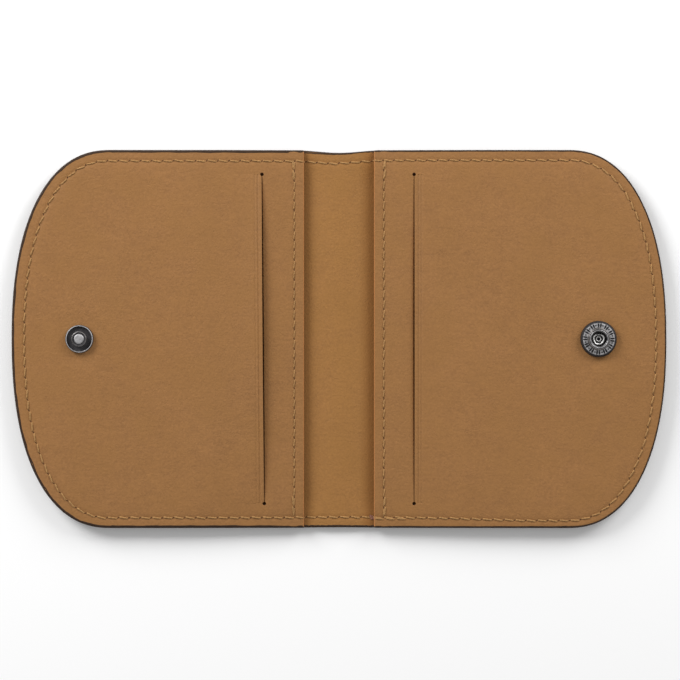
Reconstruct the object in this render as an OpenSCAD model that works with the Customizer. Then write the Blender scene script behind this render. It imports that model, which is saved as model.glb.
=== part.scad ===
// Compact bifold wallet, lying open with its inside up.
// X runs along the open width, Y along the height, Z up from the outer leather.
// The origin is under the middle of the spine.

/* [Outline] */
// Width of the open wallet
open_w = 187; // [176:1:200]
// Height of the wallet
open_h = 108; // [102:1:114]
// Length of each rounded end along X
end_len = 28.2; // [24:0.2:32]
// Exponent of the superellipse that rounds the ends
end_exp = 2.3; // [2:0.05:2.8]
// Half width of the shallow waist at the spine
waist_w = 12; // [8:1:16]
// Depth of the waist in the top and bottom edges
waist_d = 0.7; // [0:0.1:1.2]
// How far the outer leather stands out past the inner leathers
edge_lip = 0.45; // [0.2:0.05:0.8]

/* [Leathers] */
// Thickness of the outer leather at the spine
shell_t = 1.0; // [0.9:0.05:1.4]
// Thickness of the stiffener board, for which the outer leather is skived in each half
board_t = 0.3; // [0.2:0.05:0.4]
// Thickness of the lining leather
lining_t = 0.6; // [0.5:0.05:0.8]
// Thickness of the card panels and slot strips
panel_t = 0.7; // [0.6:0.05:0.9]
// Height of the card mouth above the slot strip, for a card 0.76 thick
card_gap = 0.9; // [0.85:0.05:1.1]

/* [Panels] */
// Distance from the middle to the inner edge of each panel
panel_x = 10; // [9:0.5:12]
// Distance from the middle to each card slit
slit_x = 21.6; // [20:0.2:24]
// Width of a slit, seen from above
slit_w = 0.4; // [0.3:0.05:0.6]
// Height of a pocket along Y, for a card 85.6 long
pocket_h = 93.6; // [88:0.2:95]
// Distance from the middle to the closed end of each pocket
pocket_x = 69; // [68:0.5:70]

/* [Stitching] */
// Distance of the edge stitching from the outer edge
stitch_inset = 3.0; // [2.5:0.1:3.5]
// Pitch of the edge stitching
edge_pitch = 3.15; // [2.8:0.05:3.6]
// Distance of the panel stitching from the panel's inner edge
panel_inset = 2.8; // [2.2:0.1:3.2]
// Pitch of the panel stitching
panel_pitch = 2.86; // [2.6:0.02:3.2]
// Thickness of the thread
thread_t = 0.35; // [0.25:0.05:0.45]
// Width of the flattened thread
thread_w = 0.7; // [0.5:0.05:0.9]

/* [Fold] */
// Gap between the two panels' faces when the wallet is closed
closed_gap = 3.2; // [3.2:0.05:3.6]
// Width of the split that stands in for each crease
crease_w = 0.3; // [0.2:0.05:0.5]

/* [Snap] */
// Distance from the middle to each half of the snap
snap_x = 74; // [73:0.2:76]
// Radius of the stud's head
head_r = 2.15; // [2.12:0.01:2.18]
// Radius of the socket's mouth
mouth_r = 2.3; // [2.26:0.01:2.34]
// Outer radius of the stud's rim
stud_r = 4.0; // [3.95:0.05:4.3]
// Outer radius of the socket's flange
socket_r = 5.2; // [5:0.1:5.6]
// Radius of the collar that surrounds the mouth
collar_r = 3.15; // [3.1:0.05:3.2]
// Radius of the ring spring's wire
spring_wire_r = 0.2; // [0.18:0.01:0.2]

/* [Hidden] */

tan_leather = "#9c7049";
dark_leather = "#47392f";
board_grey = "#b8ad9b";
thread_tan = "#b08a65";
gunmetal = "#6f6c6a";

$fn = 64;
end_steps = 22;
waist_steps = 6;

// Levels of the layers, counted up from the underside of the outer leather
lining_z = shell_t;
lining_top = lining_z + lining_t;
strip_top = lining_top + panel_t;
panel_z = strip_top + card_gap;
panel_top = panel_z + panel_t;

// The creases lie level with the lining's face, far enough apart for the closed gap
hinge_x = closed_gap / 2 + panel_top - lining_top;
half_x = hinge_x + crease_w / 2;
spine_x = hinge_x - crease_w / 2;
end_x = open_w / 2 - end_len;

// The stiffener board takes the place of the skived leather, with slack round the rivet's foot
board_z = shell_t - board_t;
foot_slack = 0.15;

// Rivets of the snap: a flat foot under the lining and a shank up through the leathers
foot_r = 3.2;
stud_shank_r = 0.95;
socket_shank_r = 1.1;
rivet_bore_r = 0.6;
roll_lap = 0.1;
stud_base_t = 0.4;
rim_h = 1.1;
rim_w = 0.5;
neck_r = 1.75;
neck_h = 1.5;
head_h = 2.2;
flange_h = 1.6;
collar_h = 2.6;
floor_t = 0.35;
bore_low = 1.0;
groove_low = 1.8;
groove_high = 2.4;
groove_r = 2.95;
cup_r = 2.6;
roll_r = 1.65;
roll_h = 0.75;
spring_gap_deg = 24;

// Bare leather left between one stitch and the next
stitch_gap = 0.85;

// ---- outlines ----

// How far the top edge dips at a distance x from the middle
function dip(x) = abs(x) < waist_w ? waist_d * (1 + cos(180 * x / waist_w)) / 2 : 0;

// Height of the straight part of the outline
function edge_y(x, inset) = open_h / 2 - inset - dip(x);

// A point of the rounded end, from 90 degrees at its top to 0 at its tip
function end_point(a, inset) = [
    end_x + (end_len - inset) * pow(cos(a), 2 / end_exp),
    (open_h / 2 - inset) * pow(sin(a), 2 / end_exp)
];

// The upper edge from x0 to the tip of the right end
function upper_edge(x0, inset) = concat(
    x0 < waist_w
        ? [for (i = [0:waist_steps]) let (x = x0 + (waist_w - x0) * i / waist_steps) [x, edge_y(x, inset)]]
        : [[x0, edge_y(x0, inset)]],
    [for (i = [0:end_steps]) end_point(90 * (1 - i / end_steps), inset)]
);

// The same edge with its mirror image below, from the top of the cut round to its bottom
function half_outline(x0, inset) = let (up = upper_edge(x0, inset), n = len(up)) concat(
    up,
    [for (i = [n - 2:-1:0]) [up[i].x, -up[i].y]]
);

// A band of the straight part, between x0 and x1
function band_outline(x0, x1, inset) = concat(
    [for (i = [0:waist_steps]) let (x = x0 + (x1 - x0) * i / waist_steps) [x, edge_y(x, inset)]],
    [for (i = [waist_steps:-1:0]) let (x = x0 + (x1 - x0) * i / waist_steps) [x, -edge_y(x, inset)]]
);

module half_plate(x0, inset, z, t)
    translate([0, 0, z]) linear_extrude(t) polygon(half_outline(x0, inset));

module band_plate(x0, x1, inset, z, t)
    translate([0, 0, z]) linear_extrude(t) polygon(band_outline(x0, x1, inset));

// A round hole for one of the snap's rivets
module rivet_hole(r)
    translate([snap_x, 0, -1]) cylinder(r = r, h = panel_top + 2);

module to_left() mirror([1, 0, 0]) children();

// ---- leathers ----

// Outer leather of one half, skived down by the stiffener's thickness
module shell_half()
    half_plate(half_x, 0, 0, board_z);

module stiffener_half()
    difference() {
        half_plate(half_x, edge_lip, board_z, board_t);
        rivet_hole(foot_r + foot_slack);
    }

module lining_half(shank_r)
    difference() {
        half_plate(half_x, edge_lip, lining_z, lining_t);
        rivet_hole(shank_r);
    }

// Strip of panel leather between the panel's inner edge and the slit
module slot_strip()
    band_plate(panel_x, slit_x - slit_w / 2, edge_lip, lining_top, panel_t);

// Packing round three sides of the card pocket
module pocket_welt(shank_r)
    difference() {
        half_plate(slit_x + slit_w / 2, edge_lip, lining_top, panel_z - lining_top);
        translate([slit_x - 1, -pocket_h / 2, 0])
            cube([pocket_x - slit_x + 1, pocket_h, panel_top]);
        rivet_hole(shank_r);
    }

module card_panel(shank_r)
    difference() {
        half_plate(slit_x + slit_w / 2, edge_lip, panel_z, panel_t);
        rivet_hole(shank_r);
    }

// ---- stitching ----

// One stitch lying on a surface at height z
module stitch(x, y, a, pitch, z)
    translate([x, y, z + thread_t / 2]) rotate(a)
        cube([pitch - stitch_gap, thread_w, thread_t], center = true);

// Height of the surface under a stitch that reaches as far out as x
function face_z(x) = x < panel_x ? lining_top : x < slit_x ? strip_top : panel_top;

// Length along a path up to each of its points
function run_lengths(p) = [
    for (i = 0, s = 0; i < len(p); s = i + 1 < len(p) ? s + norm(p[i + 1] - p[i]) : s, i = i + 1) s
];

// Evenly spaced stitches along the edge of one half
module edge_thread_half() {
    path = half_outline(half_x, stitch_inset);
    run = run_lengths(path);
    along_x = [for (i = [0:len(path) - 1]) [run[i], path[i].x]];
    along_y = [for (i = [0:len(path) - 1]) [run[i], path[i].y]];
    total = run[len(run) - 1];
    count = floor(total / edge_pitch);
    lead = (total - (count - 1) * edge_pitch) / 2;
    for (k = [0:count - 1]) {
        s = lead + k * edge_pitch;
        ahead = [lookup(s + 1, along_x), lookup(s + 1, along_y)];
        behind = [lookup(s - 1, along_x), lookup(s - 1, along_y)];
        way = ahead - behind;
        x = lookup(s, along_x);
        stitch(x, lookup(s, along_y), atan2(way.y, way.x), edge_pitch, face_z(x + edge_pitch / 2));
    }
}

// A straight row of stitches along the panel's inner edge
module panel_thread_half() {
    room = open_h - 2 * (stitch_inset + thread_w + 1);
    count = floor(room / panel_pitch);
    for (k = [0:count - 1])
        stitch(panel_x + panel_inset, (k - (count - 1) / 2) * panel_pitch, 90, panel_pitch, strip_top);
}

// ---- snap fastener ----

// Foot and shank of a rivet, up to height top
module rivet_body(shank_r, top) {
    translate([snap_x, 0, board_z]) cylinder(r = foot_r, h = board_t);
    translate([snap_x, 0, board_z]) cylinder(r = shank_r, h = top - board_z);
}

module stud_turned()
    rotate_extrude() polygon([
        [stud_shank_r, 0], [stud_r - 0.1, 0], [stud_r, 0.15], [stud_r, rim_h - 0.2],
        [stud_r - 0.15, rim_h], [stud_r - rim_w + 0.15, rim_h], [stud_r - rim_w, rim_h - 0.15],
        [stud_r - rim_w, stud_base_t + 0.15], [stud_r - rim_w - 0.15, stud_base_t],
        [neck_r + 0.2, stud_base_t], [neck_r, stud_base_t + 0.2], [neck_r, neck_h],
        [head_r, neck_h + 0.1], [head_r, head_h - 0.2], [head_r - 0.25, head_h - 0.06],
        [head_r - 0.7, head_h], [0, head_h], [0, neck_h], [stud_shank_r, neck_h]
    ]);

module socket_turned()
    rotate_extrude() polygon([
        [socket_shank_r, 0], [socket_r - 0.15, 0], [socket_r, 0.2], [socket_r, flange_h - 0.35],
        [socket_r - 0.3, flange_h], [collar_r + 0.1, flange_h], [collar_r, flange_h + 0.1],
        [collar_r, collar_h - 0.2], [collar_r - 0.25, collar_h], [mouth_r + 0.1, collar_h],
        [mouth_r, collar_h - 0.05], [mouth_r, groove_high], [groove_r, groove_high],
        [groove_r, groove_low], [mouth_r, groove_low], [mouth_r, bore_low], [cup_r, bore_low - 0.2],
        [cup_r, floor_t], [socket_shank_r, floor_t]
    ]);

// Rolled end of the tubular rivet that holds the socket down
module rivet_roll()
    rotate_extrude() polygon([
        [rivet_bore_r, floor_t], [roll_r, floor_t], [roll_r, floor_t + 0.2],
        [roll_r - 0.3, roll_h], [rivet_bore_r + 0.25, roll_h], [rivet_bore_r, roll_h - 0.2]
    ]);

module on_panel() translate([snap_x, 0, panel_top]) children();

// ---- sub-parts ----

module shell_spine() color(dark_leather) band_plate(-spine_x, spine_x, 0, 0, shell_t);
module lining_spine() color(tan_leather) band_plate(-spine_x, spine_x, edge_lip, lining_z, lining_t);
module edge_thread_spine()
    color(thread_tan) for (side = [-1, 1], k = [-0.5, 0.5])
        stitch(k * edge_pitch, side * edge_y(0, stitch_inset), 0, edge_pitch, lining_top);

module shell_left() color(dark_leather) to_left() shell_half();
module stiffener_left() color(board_grey) to_left() stiffener_half();
module lining_left() color(tan_leather) to_left() lining_half(stud_shank_r);
module slot_strip_left() color(tan_leather) to_left() slot_strip();
module pocket_welt_left() color(dark_leather) to_left() pocket_welt(stud_shank_r);
module card_panel_left() color(tan_leather) to_left() card_panel(stud_shank_r);
module edge_thread_left() color(thread_tan) to_left() edge_thread_half();
module panel_thread_left() color(thread_tan) to_left() panel_thread_half();
module snap_stud() color(gunmetal) to_left() on_panel() stud_turned();
module stud_post() color(gunmetal) to_left() rivet_body(stud_shank_r, panel_top + neck_h);

module shell_right() color(dark_leather) shell_half();
module stiffener_right() color(board_grey) stiffener_half();
module lining_right() color(tan_leather) lining_half(socket_shank_r);
module slot_strip_right() color(tan_leather) slot_strip();
module pocket_welt_right() color(dark_leather) pocket_welt(socket_shank_r);
module card_panel_right() color(tan_leather) card_panel(socket_shank_r);
module edge_thread_right() color(thread_tan) edge_thread_half();
module panel_thread_right() color(thread_tan) panel_thread_half();
module snap_socket() color(gunmetal) on_panel() socket_turned();
module socket_post()
    color(gunmetal) difference() {
        union() {
            rivet_body(socket_shank_r, panel_top + floor_t + roll_lap);
            on_panel() rivet_roll();
        }
        on_panel() translate([0, 0, -panel_t]) cylinder(r = rivet_bore_r, h = panel_t + roll_h + 1);
    }
module ring_spring()
    color("silver") on_panel() translate([0, 0, (groove_low + groove_high) / 2])
        rotate(spring_gap_deg / 2) rotate_extrude(angle = 360 - spring_gap_deg)
            translate([mouth_r, 0]) circle(r = spring_wire_r);

shell_spine();
lining_spine();
edge_thread_spine();
shell_left();
stiffener_left();
lining_left();
slot_strip_left();
pocket_welt_left();
card_panel_left();
edge_thread_left();
panel_thread_left();
snap_stud();
stud_post();
shell_right();
stiffener_right();
lining_right();
slot_strip_right();
pocket_welt_right();
card_panel_right();
edge_thread_right();
panel_thread_right();
snap_socket();
socket_post();
ring_spring();
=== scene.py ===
"""Looks of the bifold wallet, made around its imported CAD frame.

Lengths are millimetres in the shared frame, and become metres where a mesh is made. Shapes of one
half are worked out on the right, with x as the distance from the middle, and mirrored for the left.
"""
import math
import random
from functools import partial

import bpy
import numpy as np
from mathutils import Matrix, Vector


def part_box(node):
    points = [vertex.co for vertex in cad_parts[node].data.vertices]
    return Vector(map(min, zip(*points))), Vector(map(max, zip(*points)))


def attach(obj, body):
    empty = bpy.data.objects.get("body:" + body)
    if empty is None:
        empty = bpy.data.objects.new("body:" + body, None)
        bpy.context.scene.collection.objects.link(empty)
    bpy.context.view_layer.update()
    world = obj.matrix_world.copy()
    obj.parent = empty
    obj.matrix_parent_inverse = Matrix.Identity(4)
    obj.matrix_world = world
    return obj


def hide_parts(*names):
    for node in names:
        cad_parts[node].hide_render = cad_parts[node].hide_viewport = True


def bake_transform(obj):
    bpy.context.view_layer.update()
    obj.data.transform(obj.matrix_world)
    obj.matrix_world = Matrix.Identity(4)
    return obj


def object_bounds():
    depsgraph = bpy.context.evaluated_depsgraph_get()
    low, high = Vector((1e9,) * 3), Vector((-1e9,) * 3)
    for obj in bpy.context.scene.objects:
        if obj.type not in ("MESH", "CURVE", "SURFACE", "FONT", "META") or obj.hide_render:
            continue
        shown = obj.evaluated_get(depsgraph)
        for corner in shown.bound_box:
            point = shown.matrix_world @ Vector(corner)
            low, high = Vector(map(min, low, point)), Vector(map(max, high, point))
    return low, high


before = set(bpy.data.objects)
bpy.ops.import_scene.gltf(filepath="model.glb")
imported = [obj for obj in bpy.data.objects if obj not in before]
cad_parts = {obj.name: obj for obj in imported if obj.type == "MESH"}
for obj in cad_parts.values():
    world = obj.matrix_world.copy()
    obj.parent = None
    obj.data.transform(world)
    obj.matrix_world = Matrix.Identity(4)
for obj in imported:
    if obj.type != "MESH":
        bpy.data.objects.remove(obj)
cad_low, cad_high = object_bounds()

MM = 0.001
SIDES = {"left": -1, "right": 1}

# ---------------- sizes from the frame


def node_mm(node):
    """Lowest and highest corner of a CAD node, in millimetres."""
    low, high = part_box(node)
    return np.array(low) / MM, np.array(high) / MM


HALF_W = cad_high.x / MM
HALF_H = cad_high.y / MM
LINING_TOP = node_mm("lining_spine")[1][2]
SHELL_TOP = node_mm("shell_right")[1][2]
SHELL_SPINE_TOP = node_mm("shell_spine")[1][2]
PANEL_TOP = node_mm("card_panel_right")[1][2]
PANEL_T = PANEL_TOP - node_mm("card_panel_right")[0][2]
PANEL_X = node_mm("slot_strip_right")[0][0]
SLIT_X = (node_mm("slot_strip_right")[1][0] + node_mm("card_panel_right")[0][0]) / 2
SNAP_X = sum(node_mm("snap_socket")[i][0] for i in (0, 1)) / 2
SOCKET_R = (node_mm("snap_socket")[1][0] - node_mm("snap_socket")[0][0]) / 2
STUD_R = (node_mm("snap_stud")[1][0] - node_mm("snap_stud")[0][0]) / 2

# ---------------- outline

# Each end is a superellipse of this length and exponent
END_LEN = 28.2
END_EXP = 2.3
END_X = HALF_W - END_LEN
# The waist at the spine: half width, and depth in the top and the bottom edge
WAIST_W = 12.0
WAIST_TOP = 0.7
WAIST_BOTTOM = 0.1
# How far the inner leathers stop short of the outer leather's edge
EDGE_LIP = 0.45


def smooth(t):
    t = np.clip(t, 0, 1)
    return t * t * (3 - 2 * t)


def bell(distance, width):
    return np.exp(-((distance / width) ** 2))


def waist(x, y):
    """How far the top or bottom edge dips at a distance x from the middle."""
    near = np.clip(np.abs(x) / WAIST_W, 0, 1)
    depth = np.where(np.asarray(y) > 0, WAIST_TOP, WAIST_BOTTOM)
    return depth * (1 + np.cos(math.pi * near)) / 2


def end_curve(t, inset):
    """The rounded end at an inset, from t = 0 at its top to pi at its bottom."""
    c, s = np.cos(t), np.sin(t)
    x = END_X + (END_LEN - inset) * np.abs(s) ** (2 / END_EXP)
    y = (HALF_H - inset) * np.sign(c) * np.abs(c) ** (2 / END_EXP)
    return x, y


def inset_at(x, y):
    """Distance of a point from the outline, close enough for shading and soft shapes."""
    u = np.maximum(x - END_X, 0) / END_LEN
    v = np.abs(y) / (HALF_H - waist(x, y))
    g = np.maximum((u**END_EXP + v**END_EXP) ** (1 / END_EXP), 1e-6)
    gx = (u / g) ** (END_EXP - 1) / END_LEN
    gy = (v / g) ** (END_EXP - 1) / HALF_H
    return (1 - g) / np.maximum(np.hypot(gx, gy), 1e-6)


def waves(x, y, seed, length, count=6):
    """A smooth uneven surface between about -1 and 1, with waves of about that length."""
    rng = random.Random(seed)
    total = 0
    for _ in range(count):
        a = rng.uniform(0, math.tau)
        k = math.tau / (length * rng.uniform(0.7, 1.6))
        total = total + np.sin(k * (x * math.cos(a) + y * math.sin(a)) + rng.uniform(0, math.tau))
    return total / count**0.5


# ---------------- surfaces of the leathers

# How far in the edge stitching runs: along the top, along the bottom near the spine and near
# the end, and round the end
SEAM = {
    -1: {"top": 3.2, "bottom": 3.0, "low": 3.0, "end": 3.7},
    1: {"top": 3.0, "bottom": 3.0, "low": 2.2, "end": 3.1},
}
# Distance of the panel's own stitching from its inner edge
PANEL_STITCH = 2.8
# Height of the panel at its inner edge, and how far out it reaches its full height
STRIP_TOP = 3.05
PANEL_RUN = 32.0
SLIT_END = 47.0
SLIT_CUT = 0.16
PINHOLE_R = 0.5
# Distances of the two pressed lines from the slit, outside it, with their width and depth
HEAT_LINE = 1.25
SECOND_LINE = 2.1
LINE_WIDTH = 0.2
LINE_DEPTH = 0.19
# Per side: middle of the slit, its lean, how far it gapes, how far its outer lip lifts, and how
# deep and how far across the strip dips towards it
SLIT = {
    -1: {"x": SLIT_X + 0.05, "lean": 0.0075, "gape": 0.11, "lip": 1.7, "dip": 0.22, "dip_run": 1.6},
    1: {"x": SLIT_X - 0.15, "lean": 0.0, "gape": 0.13, "lip": 0.40, "dip": 0.46, "dip_run": 1.0},
}
# How far the seam's thread pulls the panel down, how wide, and how far the edge falls away
SEAM_PULL = 0.13
SEAM_WIDTH = 0.6
EDGE_FALL = 0.22
EDGE_FALL_WIDTH = 4.5
# The bare lining's rise at the middle of the spine, and its fall towards the panels
SWELL = 0.42
VALLEY = 0.86


def stitch_inset(x, y, side):
    """Distance of the edge stitching from the outline near a point."""
    seam = SEAM[side]
    bottom = seam["bottom"] + (seam["low"] - seam["bottom"]) * smooth((x - 20) / 40)
    along = np.where(np.asarray(y) > 0, seam["top"], bottom)
    return along + (seam["end"] - along) * smooth((x - END_X) / (0.8 * END_LEN))


def slit_middle(y, side):
    return SLIT[side]["x"] + SLIT[side]["lean"] * y


def slit_bump(y):
    """1 at the middle of a slit, 0 at its ends."""
    return np.clip(1 - (y / SLIT_END) ** 2, 0, 1)


def slit_width(y, side):
    """Width of the cut, which ends in a round pinhole at each end."""
    off = np.abs(np.abs(y) - SLIT_END)
    hole = 2 * np.sqrt(np.maximum(PINHOLE_R**2 - off**2, 0))
    cut = np.where(np.abs(y) < SLIT_END, SLIT_CUT + SLIT[side]["gape"] * slit_bump(y), 0)
    return np.maximum(hole, cut)


def lining_height(x, y, side):
    """The bare lining in the spine sinks a little towards the panels."""
    edge = inset_at(x, y)
    held = 0.45 + 0.55 * smooth((edge - 1) / 8)
    z = LINING_TOP + SWELL - VALLEY * held * smooth((x - 0.3) / 9.7)
    z = z + 0.03 * waves(x * side, y, 11, 14)
    return z - 0.12 * bell(edge - stitch_inset(x, y, side), SEAM_WIDTH)


def panel_height(x, y, side):
    """Upper face of a panel, from its inner edge to the rounded end."""
    z = STRIP_TOP + (PANEL_TOP - STRIP_TOP) * smooth((x - PANEL_X) / PANEL_RUN)
    edge = inset_at(x, y)
    z = z - EDGE_FALL * bell(edge, EDGE_FALL_WIDTH)
    z = z - SEAM_PULL * bell(edge - stitch_inset(x, y, side), SEAM_WIDTH)
    z = z - 0.11 * bell(x - PANEL_X - PANEL_STITCH, 0.55)
    past = x - slit_middle(y, side)
    open_here = slit_bump(y) ** 0.7
    slit = SLIT[side]
    z = z + np.where(past > 0, open_here * slit["lip"] * np.exp(-np.maximum(past, 0) / 6), 0)
    z = z - np.where(past < 0, open_here * slit["dip"] * np.exp(np.minimum(past, 0) / slit["dip_run"]), 0)
    lines = bell(past - HEAT_LINE, LINE_WIDTH) + 0.7 * bell(past - SECOND_LINE, LINE_WIDTH)
    z = z - LINE_DEPTH * lines * np.sign(slit_bump(y))
    from_snap = np.hypot(x - SNAP_X, y)
    z = z - 0.16 * bell(from_snap - 5.6, 1.6)
    amount = 0.05 * smooth((from_snap - 4) / 6)
    return z + amount * waves(x * side, y, 21 + side, 26) + 0.4 * amount * waves(x * side, y, 31, 9)


def inner_face(x, y, side):
    """Height of whatever shows on the inside of the wallet: lining, then panel."""
    step = smooth((x - PANEL_X + 0.15) / 0.5)
    return lining_height(x, y, side) * (1 - step) + panel_height(x, y, side) * step


# Lowest height of the outer leather, and depth of its stitching's channel
OUTER_LOW = 0.07
OUTER_CHANNEL = 0.34


def outer_face(x, y, side):
    """Height of the outer leather's underside, with a channel for its stitching."""
    z = OUTER_LOW + 0.03 * (1 + waves(x * side, y, 41, 30)) / 2
    return z + OUTER_CHANNEL * bell(inset_at(x, y) - stitch_inset(x, y, side), 0.55)


# ---------------- mesh making

scene = bpy.context.scene


def add_mesh(name, points_mm, faces, mats, side=1, sharp_deg=38):
    """A smooth-shaded object from millimetre points. side -1 mirrors it to the left half."""
    points = np.array(points_mm, float) * MM
    if side < 0:
        points[:, 0] *= -1
        faces = [list(reversed(f)) for f in faces]
    mesh = bpy.data.meshes.new(name)
    mesh.from_pydata(points.tolist(), [], [list(map(int, f)) for f in faces])
    mesh.validate()
    mesh.shade_smooth()
    mesh.set_sharp_from_angle(angle=math.radians(sharp_deg))
    obj = bpy.data.objects.new(name, mesh)
    scene.collection.objects.link(obj)
    for mat in mats:
        mesh.materials.append(mat)
    return obj


def weld(points, faces):
    """Joins points that lie on each other, and drops faces that this closes up."""
    keys = np.round(points, 5)
    _, first, same = np.unique(keys, axis=0, return_index=True, return_inverse=True)
    same = same.ravel()
    kept = []
    for face in faces:
        ring = []
        for v in same[list(face)]:
            if v not in ring:
                ring.append(v)
        if len(ring) > 2:
            kept.append(ring)
    return points[first], kept


def thicken(points, faces, low):
    """Closes a sheet with its underside at heights low, and walls round every open edge."""
    n = len(points)
    under = points.copy()
    under[:, 2] = low
    edges = {(f[i], f[(i + 1) % len(f)]) for f in faces for i in range(len(f))}
    walls = [[b, a, a + n, b + n] for a, b in sorted(edges) if (b, a) not in edges]
    below = [[v + n for v in reversed(f)] for f in faces]
    return np.vstack([points, under]), faces + below + walls, len(walls)


def tube_faces(start, rings, sides, flip=False):
    """Faces of a tube of rings of points, numbered from start on and closed at both ends."""
    faces = []
    for a in range(start, start + (rings - 1) * sides, sides):
        b = a + sides
        for i in range(sides):
            j = (i + 1) % sides
            faces.append([a + i, a + j, b + j, b + i] if flip else [a + i, b + i, b + j, a + j])
    first = list(range(start, start + sides))
    last = [v + (rings - 1) * sides for v in first]
    return faces + ([first[::-1], last] if flip else [first, last[::-1]])


def thin_out(values, gap):
    """The values in order, without those closer than gap to the one before."""
    kept = []
    for v in sorted(values):
        if not kept or v - kept[-1] > gap:
            kept.append(v)
    return kept


def row_angles(inner_inset, step_deg, extra_y):
    """Angles of the sheet's rows, with extra ones where a row must pass through a height y."""
    half = [math.radians(step_deg * i) for i in range(round(90 / step_deg) + 1)]
    for y in extra_y:
        half.append(math.acos(min(1, (y / (HALF_H - inner_inset)) ** (END_EXP / 2))))
    half = thin_out(half, 1e-5)
    return half + [math.pi - t for t in reversed(half[:-1])]


# Columns stand at fixed distances up to here, and beyond it they share out the rounded end
STRAIGHT_TO = 60.0
TAIL_COLUMNS = 29
CUT_SIDES = {"before cut": -1, "after cut": 1}
# Stands for the distance from a slit where there is none
FAR = 99.0


def sheet_half(side, start, insets, columns, step_deg, height, inner_edge=False, fill=True, extra_y=()):
    """One half of a leather sheet as points and faces.

    start is where it begins, insets run from the innermost ring to the edge, columns are
    distances from the middle as ("at", x), or from the slit's two lips as ("before cut", gap)
    and ("after cut", gap). inner_edge rings the inner end as well, and fill=False leaves only
    the rings.
    """
    rows = row_angles(insets[0], step_deg, extra_y)
    edge = insets[-1]
    tail = np.linspace(0, 1, TAIL_COLUMNS + 1)[1:]
    kinds = [("start", 0)] + columns + [("tail", f) for f in tail]

    def place(t, inset):
        """Points of one row at an inset, column by column."""
        end, y = end_curve(t, inset)
        xs, offs = [], []
        first = start + (inset - edge if inner_edge else 0)
        for kind, value in kinds:
            off = FAR
            if kind == "start":
                x = first
            elif kind == "at":
                x = value
            elif kind in CUT_SIDES:
                way = CUT_SIDES[kind]
                x = slit_middle(y, side) + way * (slit_width(y, side) / 2 + value)
                if slit_width(y, side) > 0:
                    off = value
            else:
                x = STRAIGHT_TO + value * (end - STRAIGHT_TO)
            xs.append(x)
            offs.append(off)
        xs = np.array(xs)
        ys = y * (1 - waist(xs, y) / HALF_H)
        return np.column_stack([xs, ys]), np.array(offs)

    flat, cut_off, ring_of = [], [], []
    width = len(kinds)
    grid = np.zeros((len(rows), width), int)
    for i, t in enumerate(rows):
        spots, offs = place(t, insets[0])
        for j in range(width):
            grid[i, j] = len(flat)
            flat.append(spots[j])
            cut_off.append(offs[j])
            ring_of.append(insets[0])
    faces = []
    if fill:
        for i in range(len(rows) - 1):
            for j in range(width - 1):
                if kinds[j] == ("before cut", 0) and kinds[j + 1] == ("after cut", 0):
                    continue
                faces.append([grid[i, j], grid[i + 1, j], grid[i + 1, j + 1], grid[i, j + 1]])
    last = len(rows) - 1
    loop = [(0, j) for j in range(width)] + [(i, width - 1) for i in range(1, last + 1)]
    loop += [(last, j) for j in range(width - 2, -1, -1)]
    if inner_edge:
        loop += [(i, 0) for i in range(last - 1, -1, -1)]
    inner = [grid[i, j] for i, j in loop]
    for inset in insets[1:]:
        placed = {i: place(rows[i], inset) for i in {i for i, _ in loop}}
        outer = []
        for i, j in loop:
            outer.append(len(flat))
            flat.append(placed[i][0][j])
            cut_off.append(placed[i][1][j])
            ring_of.append(inset)
        for m in range(len(loop) - 1):
            faces.append([inner[m], inner[m + 1], outer[m + 1], outer[m]])
        inner = outer
    flat, cut_off, ring_of = np.array(flat), np.array(cut_off), np.array(ring_of)
    z = height(flat[:, 0], flat[:, 1], side)
    points = np.column_stack([flat, z, ring_of - edge, cut_off])
    points, faces = weld(points, faces)
    if not fill:
        used = sorted({v for f in faces for v in f})
        index = {v: k for k, v in enumerate(used)}
        points, faces = points[used], [[index[v] for v in f] for f in faces]
    return points, faces


def rounding(distance, radius):
    """How far a rounded edge has dropped at a distance in from it."""
    left = np.clip(radius - distance, 0, radius)
    return radius - np.sqrt(np.maximum(radius**2 - left**2, 0))


def at(values):
    return [("at", v) for v in values]


# ---------------- materials


def node_material(name):
    mat = bpy.data.materials.new(name)
    mat.use_nodes = True
    tree = mat.node_tree
    shader = tree.nodes["Principled BSDF"]
    return mat, tree, shader


def feed(tree, made, inputs):
    """Links or sets inputs of a node."""
    for key, value in inputs.items():
        if isinstance(value, bpy.types.NodeSocket):
            tree.links.new(value, made.inputs[key])
        else:
            made.inputs[key].default_value = value


def node(tree, kind, inputs=(), **settings):
    made = tree.nodes.new(kind)
    for key, value in settings.items():
        setattr(made, key, value)
    feed(tree, made, dict(inputs))
    return made


def object_space(tree, stretch=(1, 1, 1)):
    coord = node(tree, "ShaderNodeTexCoord")
    return node(tree, "ShaderNodeMapping", {"Vector": coord.outputs["Object"], "Scale": stretch}).outputs[0]


def noise(tree, where, feature_mm, detail, roughness=0.55, distortion=0.0):
    """Noise whose features are about that many millimetres across."""
    made = node(tree, "ShaderNodeTexNoise", {
        "Vector": where, "Scale": 1 / (feature_mm * MM), "Detail": detail, "Roughness": roughness,
        "Distortion": distortion,
    })
    return made.outputs["Fac"]


def cells(tree, where, feature_mm):
    made = node(tree, "ShaderNodeTexVoronoi", {"Vector": where, "Scale": 1 / (feature_mm * MM)})
    return made.outputs["Distance"]


def ranged(tree, value, out_low, out_high, low=0.3, high=0.7):
    made = node(
        tree, "ShaderNodeMapRange",
        {"Value": value, "From Min": low, "From Max": high, "To Min": out_low, "To Max": out_high},
    )
    return made.outputs["Result"]


def mixed(tree, factor, one, other):
    """Colour one where the factor is 0, and other where it is 1."""
    return node(tree, "ShaderNodeMix", {"Factor": factor, 6: one, 7: other}, data_type="RGBA").outputs[2]


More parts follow.
